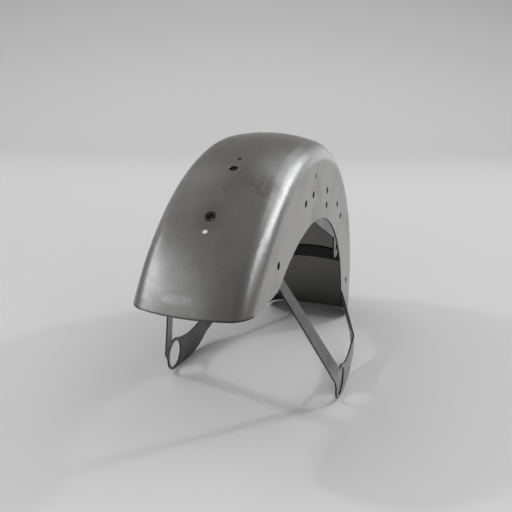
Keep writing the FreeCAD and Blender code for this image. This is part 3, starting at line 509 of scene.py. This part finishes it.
class FENDER_OT_shell(bpy.types.Operator):
    """Pressed shell, trimmed at the skirts' rear corners, in bare sheet with smudges and sheared edges"""

    bl_idname = "fender.shell"
    bl_label = "Trim and Finish Shell"

    def pressed_copy(self):
        """A copy of the pressed shell with its loose triangles merged."""
        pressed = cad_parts["fender_shell"]
        bpy.ops.object.select_all(action="DESELECT")
        pressed.select_set(True)
        bpy.context.view_layer.objects.active = pressed
        bpy.ops.object.duplicate()
        shell = bpy.context.object
        shell.name = "trimmed_shell"
        bpy.ops.object.mode_set(mode="EDIT")
        bpy.ops.mesh.select_all(action="SELECT")
        bpy.ops.mesh.remove_doubles(threshold=MERGE_REACH)
        bpy.ops.object.mode_set(mode="OBJECT")
        return shell

    def take_bite(self, shell, bite):
        """Cuts one straight bite from the rear corner of both skirts."""
        turn = Matrix.Rotation(math.radians(bite.lean), 3, "Y")
        corner = Vector((bite.forward, 0, bite.height))
        middle = corner + turn @ Vector((BITE_SIZE.x / 2, 0, -BITE_SIZE.z / 2))
        bpy.ops.object.select_all(action="DESELECT")
        bpy.ops.mesh.primitive_cube_add(size=1, location=middle, rotation=turn.to_euler(), scale=BITE_SIZE)
        cutter = bpy.context.object
        bpy.context.view_layer.objects.active = shell
        cut = shell.modifiers.new("corner", "BOOLEAN")
        cut.operation, cut.solver, cut.object = "DIFFERENCE", "EXACT", cutter
        bpy.ops.object.modifier_apply(modifier=cut.name)
        bpy.data.objects.remove(cutter)

    def trim(self):
        """The pressed shell with both rear skirt corners cut back and its shading evened out."""
        shell = self.pressed_copy()
        for bite in CORNER_BITES:
            self.take_bite(shell, bite)
        shell.select_set(True)
        bpy.ops.object.shade_smooth_by_angle(angle=SMOOTH_ANGLE)
        even = shell.modifiers.new("normals", "WEIGHTED_NORMAL")
        even.keep_sharp = True
        bpy.ops.object.modifier_apply(modifier=even.name)
        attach(shell, "root")
        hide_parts("fender_shell")
        return shell

    def bare_sheet(self, sizes, finish, marks):
        """Handled sheet with press marks, a stain and a rub, and painted shade: in the dishes, along the
        front lip's edge, on the sheared edges and on the inside, darkest low down.
        """
        material, graph = new_material("bare_sheet")
        sheet = SheetPlace(graph)
        half_width = abs(sheet.across)
        flank = half_width.ramp(*SHOULDER) * (1 - marks.crown_share) + marks.crown_share
        press_place = graph.vector(
            sheet.along * PRESS_LINES.x, sheet.across * PRESS_LINES.y, sheet.out * PRESS_LINES.z)
        pressed = graph.noise(press_place, scale=1.0, detail=4.0)
        mottle = graph.noise(sheet.place, scale=170.0, detail=4.0, roughness=0.7)
        grain = graph.noise(sheet.place, scale=900.0, detail=2.0)
        handled = graph.noise(sheet.place, scale=14.0, detail=5.0, roughness=0.6).ramp(0.45, 0.75)

        dish_along = sizes.dish_angle * sizes.crown_radius
        pin_along = sizes.pin_angle * sizes.crown_radius
        halo = sheet.spot(HALO_PATCH, dish_along)
        # Painted shade in the two dished holes.
        dish_shade = sheet.spot(DISH_SHADE_PATCH, dish_along)
        pin = sheet.spot(PIN_SHADE_PATCH, pin_along)

        wiped = sheet.across * WIPE_SLANT.x - sheet.along * WIPE_SLANT.y
        wipe_place = graph.vector(wiped * WIPE_LINES.x, sheet.along * WIPE_LINES.y, 0.0)
        lines = graph.noise(wipe_place, scale=1.0, detail=4.0, roughness=0.7)
        streaks = lines.ramp(0.35, 0.8) * sheet.spot(STREAK_PATCH)
        flecks = graph.noise(sheet.place, scale=85.0, detail=4.0, roughness=0.75)
        rust = flecks.ramp(0.3, 0.75) * sheet.spot(RUST_PATCH)
        scuff = grain.ramp(0.2, 0.8) * sheet.spot(SCUFF_PATCH)

        skirt = half_width.ramp(*SKIRT)
        # Painted shade: the skirts' sheared edges are darkened to near-black.
        sheared = skirt * (1 - abs(sheet.side).ramp(*SHELL_EDGE))
        # Painted shade: a dark line along the front lip's lower edge, on the crown's front.
        above_lip = sheet.height.ramp(*(sizes.lip_height + rise for rise in LIP_EDGE))
        lip = (1 - skirt) * sheet.forward.ramp(*FRONT) * (1 - above_lip)

        outside = graph.coats(
            finish.steel,
            (handled * marks.handled, finish.smudge),
            (mottle.ramp(0.35, 0.7) * marks.mottle, finish.smudge),
            (pressed.ramp(0.35, 0.8) * flank * marks.pressed, finish.smudge),
            (halo * marks.halo + rust * marks.rust, finish.stain),
            (scuff * marks.scuff, finish.scuff),
            # Near-black coat: painted shade in the dishes and along the front lip's edge, plus the real wiped
            # streaks.
            (dish_shade * marks.dish_shade + pin * marks.pin + streaks * marks.streaks + lip * marks.lip, finish.scale))
        # Painted shade: the inside of the shell is painted darker, and darker still low down.
        inside = graph.blend(sheet.height.ramp(*INSIDE_SHADE_FADE) * marks.inside_shade_and_smudge, finish.inside_shade_and_smudge, finish.scale)
        # Painted shade on the sheared edges is laid last.
        colour = graph.coats(inside, (sheet.outside, outside), (sheared, finish.scale))
        roughness = (finish.roughness + handled * HANDLED_DULL + pressed.swing() * flank * PRESSED_DULL
                     + mottle.swing() * MOTTLE_DULL + sheared * SHEARED_DULL)
        fine = graph.bump(grain, strength=0.05, distance=0.0002)
        relief = graph.bump(pressed * flank, strength=0.06, distance=0.0006, below=fine)
        graph.finish(base_color=colour, metallic=1.0, roughness=roughness, normal=relief)
        return material

    def execute(self, context):
        scene = context.scene
        shell = self.trim()
        shell.data.materials.clear()
        shell.data.materials.append(
            self.bare_sheet(scene.fender_sizes, scene.fender_finish, scene.fender_marks))
        return {"FINISHED"}


class FENDER_OT_strip_finish(bpy.types.Operator):
    """Cut and folded plate with painted shade on its sheared edges and on its upper outward and lower inward
    faces, for the stays and the fork brackets
    """

    bl_idname = "fender.strip_finish"
    bl_label = "Finish Stays and Brackets"

    def execute(self, context):
        finish, marks = context.scene.fender_finish, context.scene.fender_marks
        material, graph = new_material("cut_plate")
        sheet = SheetPlace(graph)
        handled = graph.noise(sheet.place, scale=40.0, detail=4.0, roughness=0.6).ramp(0.4, 0.75)
        blotches = graph.noise(sheet.place, scale=130.0, detail=4.0, roughness=0.7).ramp(0.5, 0.68)
        rolling_place = graph.vector(
            sheet.forward * ROLLING_LINES.x, sheet.across * ROLLING_LINES.y, sheet.out * ROLLING_LINES.z)
        rolled = graph.noise(rolling_place, scale=1.0, detail=3.0)
        # Painted shade: the plates' sheared edges are darkened to near-black.
        sheared = 1 - abs(sheet.side).ramp(*PLATE_EDGE)
        # Painted shade: the upper outward faces and lower inward faces of the plates are darkened.
        high = sheet.height.ramp(*STRAP_FADE)
        outer = sheet.outside * high
        inner = (1 - sheet.outside) * (1 - high)
        colour = graph.coats(
            finish.plate,
            # The same darker colour, used here for real smudges and blotches on the plates.
            (handled * marks.plate_handled, finish.inside_shade_and_smudge),
            (blotches * marks.plate_blotches, finish.inside_shade_and_smudge),
            # Painted shade on the plates' upper outward and lower inward faces.
            (outer * marks.plate_outer_shade + inner * marks.plate_inner_shade, finish.scale),
            (sheared, finish.scale))
        roughness = (finish.roughness + PLATE_DULL + handled * HANDLED_DULL + rolled.swing() * ROLLED_DULL
                     + sheared * PLATE_SHEARED_DULL)
        graph.finish(base_color=colour, metallic=1.0, roughness=roughness,
                     normal=graph.bump(rolled, strength=0.05, distance=0.0004))
        dress(material, "left_stay", "right_stay", "left_fork_bracket", "right_fork_bracket")
        return {"FINISHED"}


class FENDER_OT_brace_finish(bpy.types.Operator):
    """Black mill scale on the rear brace and the captive nut"""

    bl_idname = "fender.brace_finish"
    bl_label = "Finish Brace and Nut"

    def execute(self, context):
        finish, marks = context.scene.fender_finish, context.scene.fender_marks
        material, graph = new_material("mill_scale")
        place = graph.make("ShaderNodeTexCoord", output="Object")
        cloudy = graph.noise(place, scale=60.0, detail=5.0, roughness=0.65)
        colour = graph.blend(cloudy.ramp(0.6, 0.8) * marks.worn, finish.scale, finish.smudge)
        roughness = finish.scale_roughness + cloudy.swing() * SCALE_DULL
        graph.finish(base_color=colour, metallic=0.8, roughness=roughness,
                     normal=graph.bump(cloudy, strength=0.1, distance=0.0005))
        dress(material, "rear_brace", "lamp_nut")
        return {"FINISHED"}


class FENDER_OT_stage(bpy.types.Operator):
    """Pale sweep, soft lamps and the camera"""

    bl_idname = "fender.stage"
    bl_label = "Set Stage"

    def paper(self, stage):
        """Pale paper whose backdrop glows for the camera and in the steel, and lights nothing else."""
        material, graph = new_material("sweep_paper")
        place = graph.make("ShaderNodeTexCoord", output="Object")
        ahead = graph.make("ShaderNodeSeparateXYZ", None, {0: place}, output="X")
        climb = ahead.peer("Z").ramp(0.0, stage.wall_height)
        lit = ahead.ramp(GLOW_START, GLOW_FULL) * (1 - climb * GLOW_LOSS)
        seen = graph.make("ShaderNodeLightPath", output="Is Camera Ray")
        shown = seen + seen.peer("Is Glossy Ray")
        glow = graph.blend(shown * lit, BLACK, stage.backdrop_glow)
        graph.finish(base_color=stage.sweep_colour, roughness=PAPER_ROUGHNESS, emission_color=glow,
                     emission_strength=1.0)
        return material

    def sweep(self, stage):
        """Floor and backdrop in one bent sheet."""
        depth = stage.wall_distance + stage.sweep_front
        bpy.ops.object.select_all(action="DESELECT")
        bpy.ops.mesh.primitive_plane_add(size=1)
        floor = bpy.context.object
        floor.name = "sweep"
        bpy.ops.object.mode_set(mode="EDIT")
        bpy.ops.transform.resize(value=(depth, stage.sweep_width, 1))
        bpy.ops.transform.translate(value=(depth / 2 - stage.wall_distance, 0, FLOOR))
        pick_edges(floor, lambda vert: vert.co.x < 0)
        bpy.ops.mesh.extrude_region_move(TRANSFORM_OT_translate={"value": (0, 0, stage.wall_height)})
        pick_edges(floor, lambda vert: vert.co.x < 0 and vert.co.z < FLOOR + FLOOR_REACH)
        bpy.ops.mesh.bevel(offset=stage.sweep_bend, segments=BEND_STEPS, profile=0.5)
        bpy.ops.object.mode_set(mode="OBJECT")
        bpy.ops.object.shade_smooth()
        floor.data.materials.append(self.paper(stage))
        floor.rotation_euler.z = stage.heading - math.pi

    def room(self, stage):
        """Light all round, weaker from the dark side."""
        world = bpy.data.worlds.new("studio")
        world.use_nodes = True
        bpy.context.scene.world = world
        graph = Graph(world.node_tree)
        toward = graph.make("ShaderNodeTexCoord", output="Generated")
        dark = (math.cos(stage.room_dark), math.sin(stage.room_dark), 0)
        strength = stage.room_light - graph.dot(toward, dark).ramp(*DARK_SIDE) * stage.room_fall
        light = graph.make("ShaderNodeBackground", None, {"Color": stage.room_colour, "Strength": strength})
        graph.make("ShaderNodeOutputWorld", None, {"Surface": light})

    def hang(self, stage, lamp):
        """An area lamp that faces the fender's middle."""
        middle = (Vector(CAD_BOX[0]) + Vector(CAD_BOX[1])) / 2
        heading, rise = math.radians(lamp.heading), math.radians(lamp.rise)
        level = math.cos(rise)
        toward = Vector((level * math.cos(heading), level * math.sin(heading), math.sin(rise)))
        bpy.ops.object.light_add(type="AREA", location=middle + toward * lamp.distance)
        hung = bpy.context.object
        hung.name = lamp.name
        hung.rotation_euler = toward.to_track_quat("Z", "Y").to_euler()
        hung.data.shape = "RECTANGLE"
        hung.data.size, hung.data.size_y = lamp.width, lamp.height
        hung.data.energy = getattr(stage, lamp.power) * lamp.share
        hung.visible_camera = False
        return hung

    def lamps(self, stage):
        """Softboxes for the steel and lamps for the floor."""
        for lamp in SOFTBOXES:
            softbox = self.hang(stage, lamp)
            softbox.data.color = stage.lamp_colour
            softbox.visible_diffuse = False
        for lamp in FLOOR_LAMPS:
            self.hang(stage, lamp).visible_glossy = False

    def camera(self, stage):
        """The photographer's camera."""
        bpy.ops.object.camera_add()
        camera = bpy.context.object
        turn = (Matrix.Rotation(stage.heading - math.pi / 2, 4, "Z")
                @ Matrix.Rotation(math.pi / 2 + stage.pitch, 4, "X") @ Matrix.Rotation(stage.roll, 4, "Z"))
        camera.matrix_world = Matrix.Translation(stage.camera_place) @ turn
        camera.data.lens = stage.lens
        camera.data.sensor_width = SENSOR_WIDTH
        bpy.context.scene.camera = camera

    def execute(self, context):
        stage = context.scene.fender_stage
        self.sweep(stage)
        self.room(stage)
        self.lamps(stage)
        self.camera(stage)
        context.scene.view_settings.view_transform = "Standard"
        return {"FINISHED"}


class FENDER_PT_sidebar(bpy.types.Panel):
    """Lists the fender's sizes, finishes, marks and steps."""

    bl_idname = "FENDER_PT_sidebar"
    bl_label = "Fender"
    bl_space_type = "VIEW_3D"
    bl_region_type = "UI"
    bl_category = "Fender"

    def draw(self, context):
        for name, group in GROUPS.items():
            box = self.layout.box()
            for entry in group.__annotations__:
                box.prop(getattr(context.scene, name), entry)
        for step in STEPS:
            self.layout.operator(step.bl_idname)


STEPS = (FENDER_OT_shell, FENDER_OT_strip_finish, FENDER_OT_brace_finish, FENDER_OT_stage)
GROUPS = {"fender_sizes": FenderSizes, "fender_finish": FenderFinish, "fender_marks": FenderMarks,
          "fender_stage": FenderStage}


def register():
    for item in tuple(GROUPS.values()) + STEPS + (FENDER_PT_sidebar,):
        bpy.utils.register_class(item)
    for name, group in GROUPS.items():
        setattr(bpy.types.Scene, name, PointerProperty(type=group))


def unregister():
    for name in GROUPS:
        delattr(bpy.types.Scene, name)
    for item in (FENDER_PT_sidebar,) + STEPS[::-1] + tuple(GROUPS.values())[::-1]:
        bpy.utils.unregister_class(item)


def main():
    register()
    bpy.ops.fender.shell()
    bpy.ops.fender.strip_finish()
    bpy.ops.fender.brace_finish()
    bpy.ops.fender.stage()


if __name__ == "__main__":
    main()
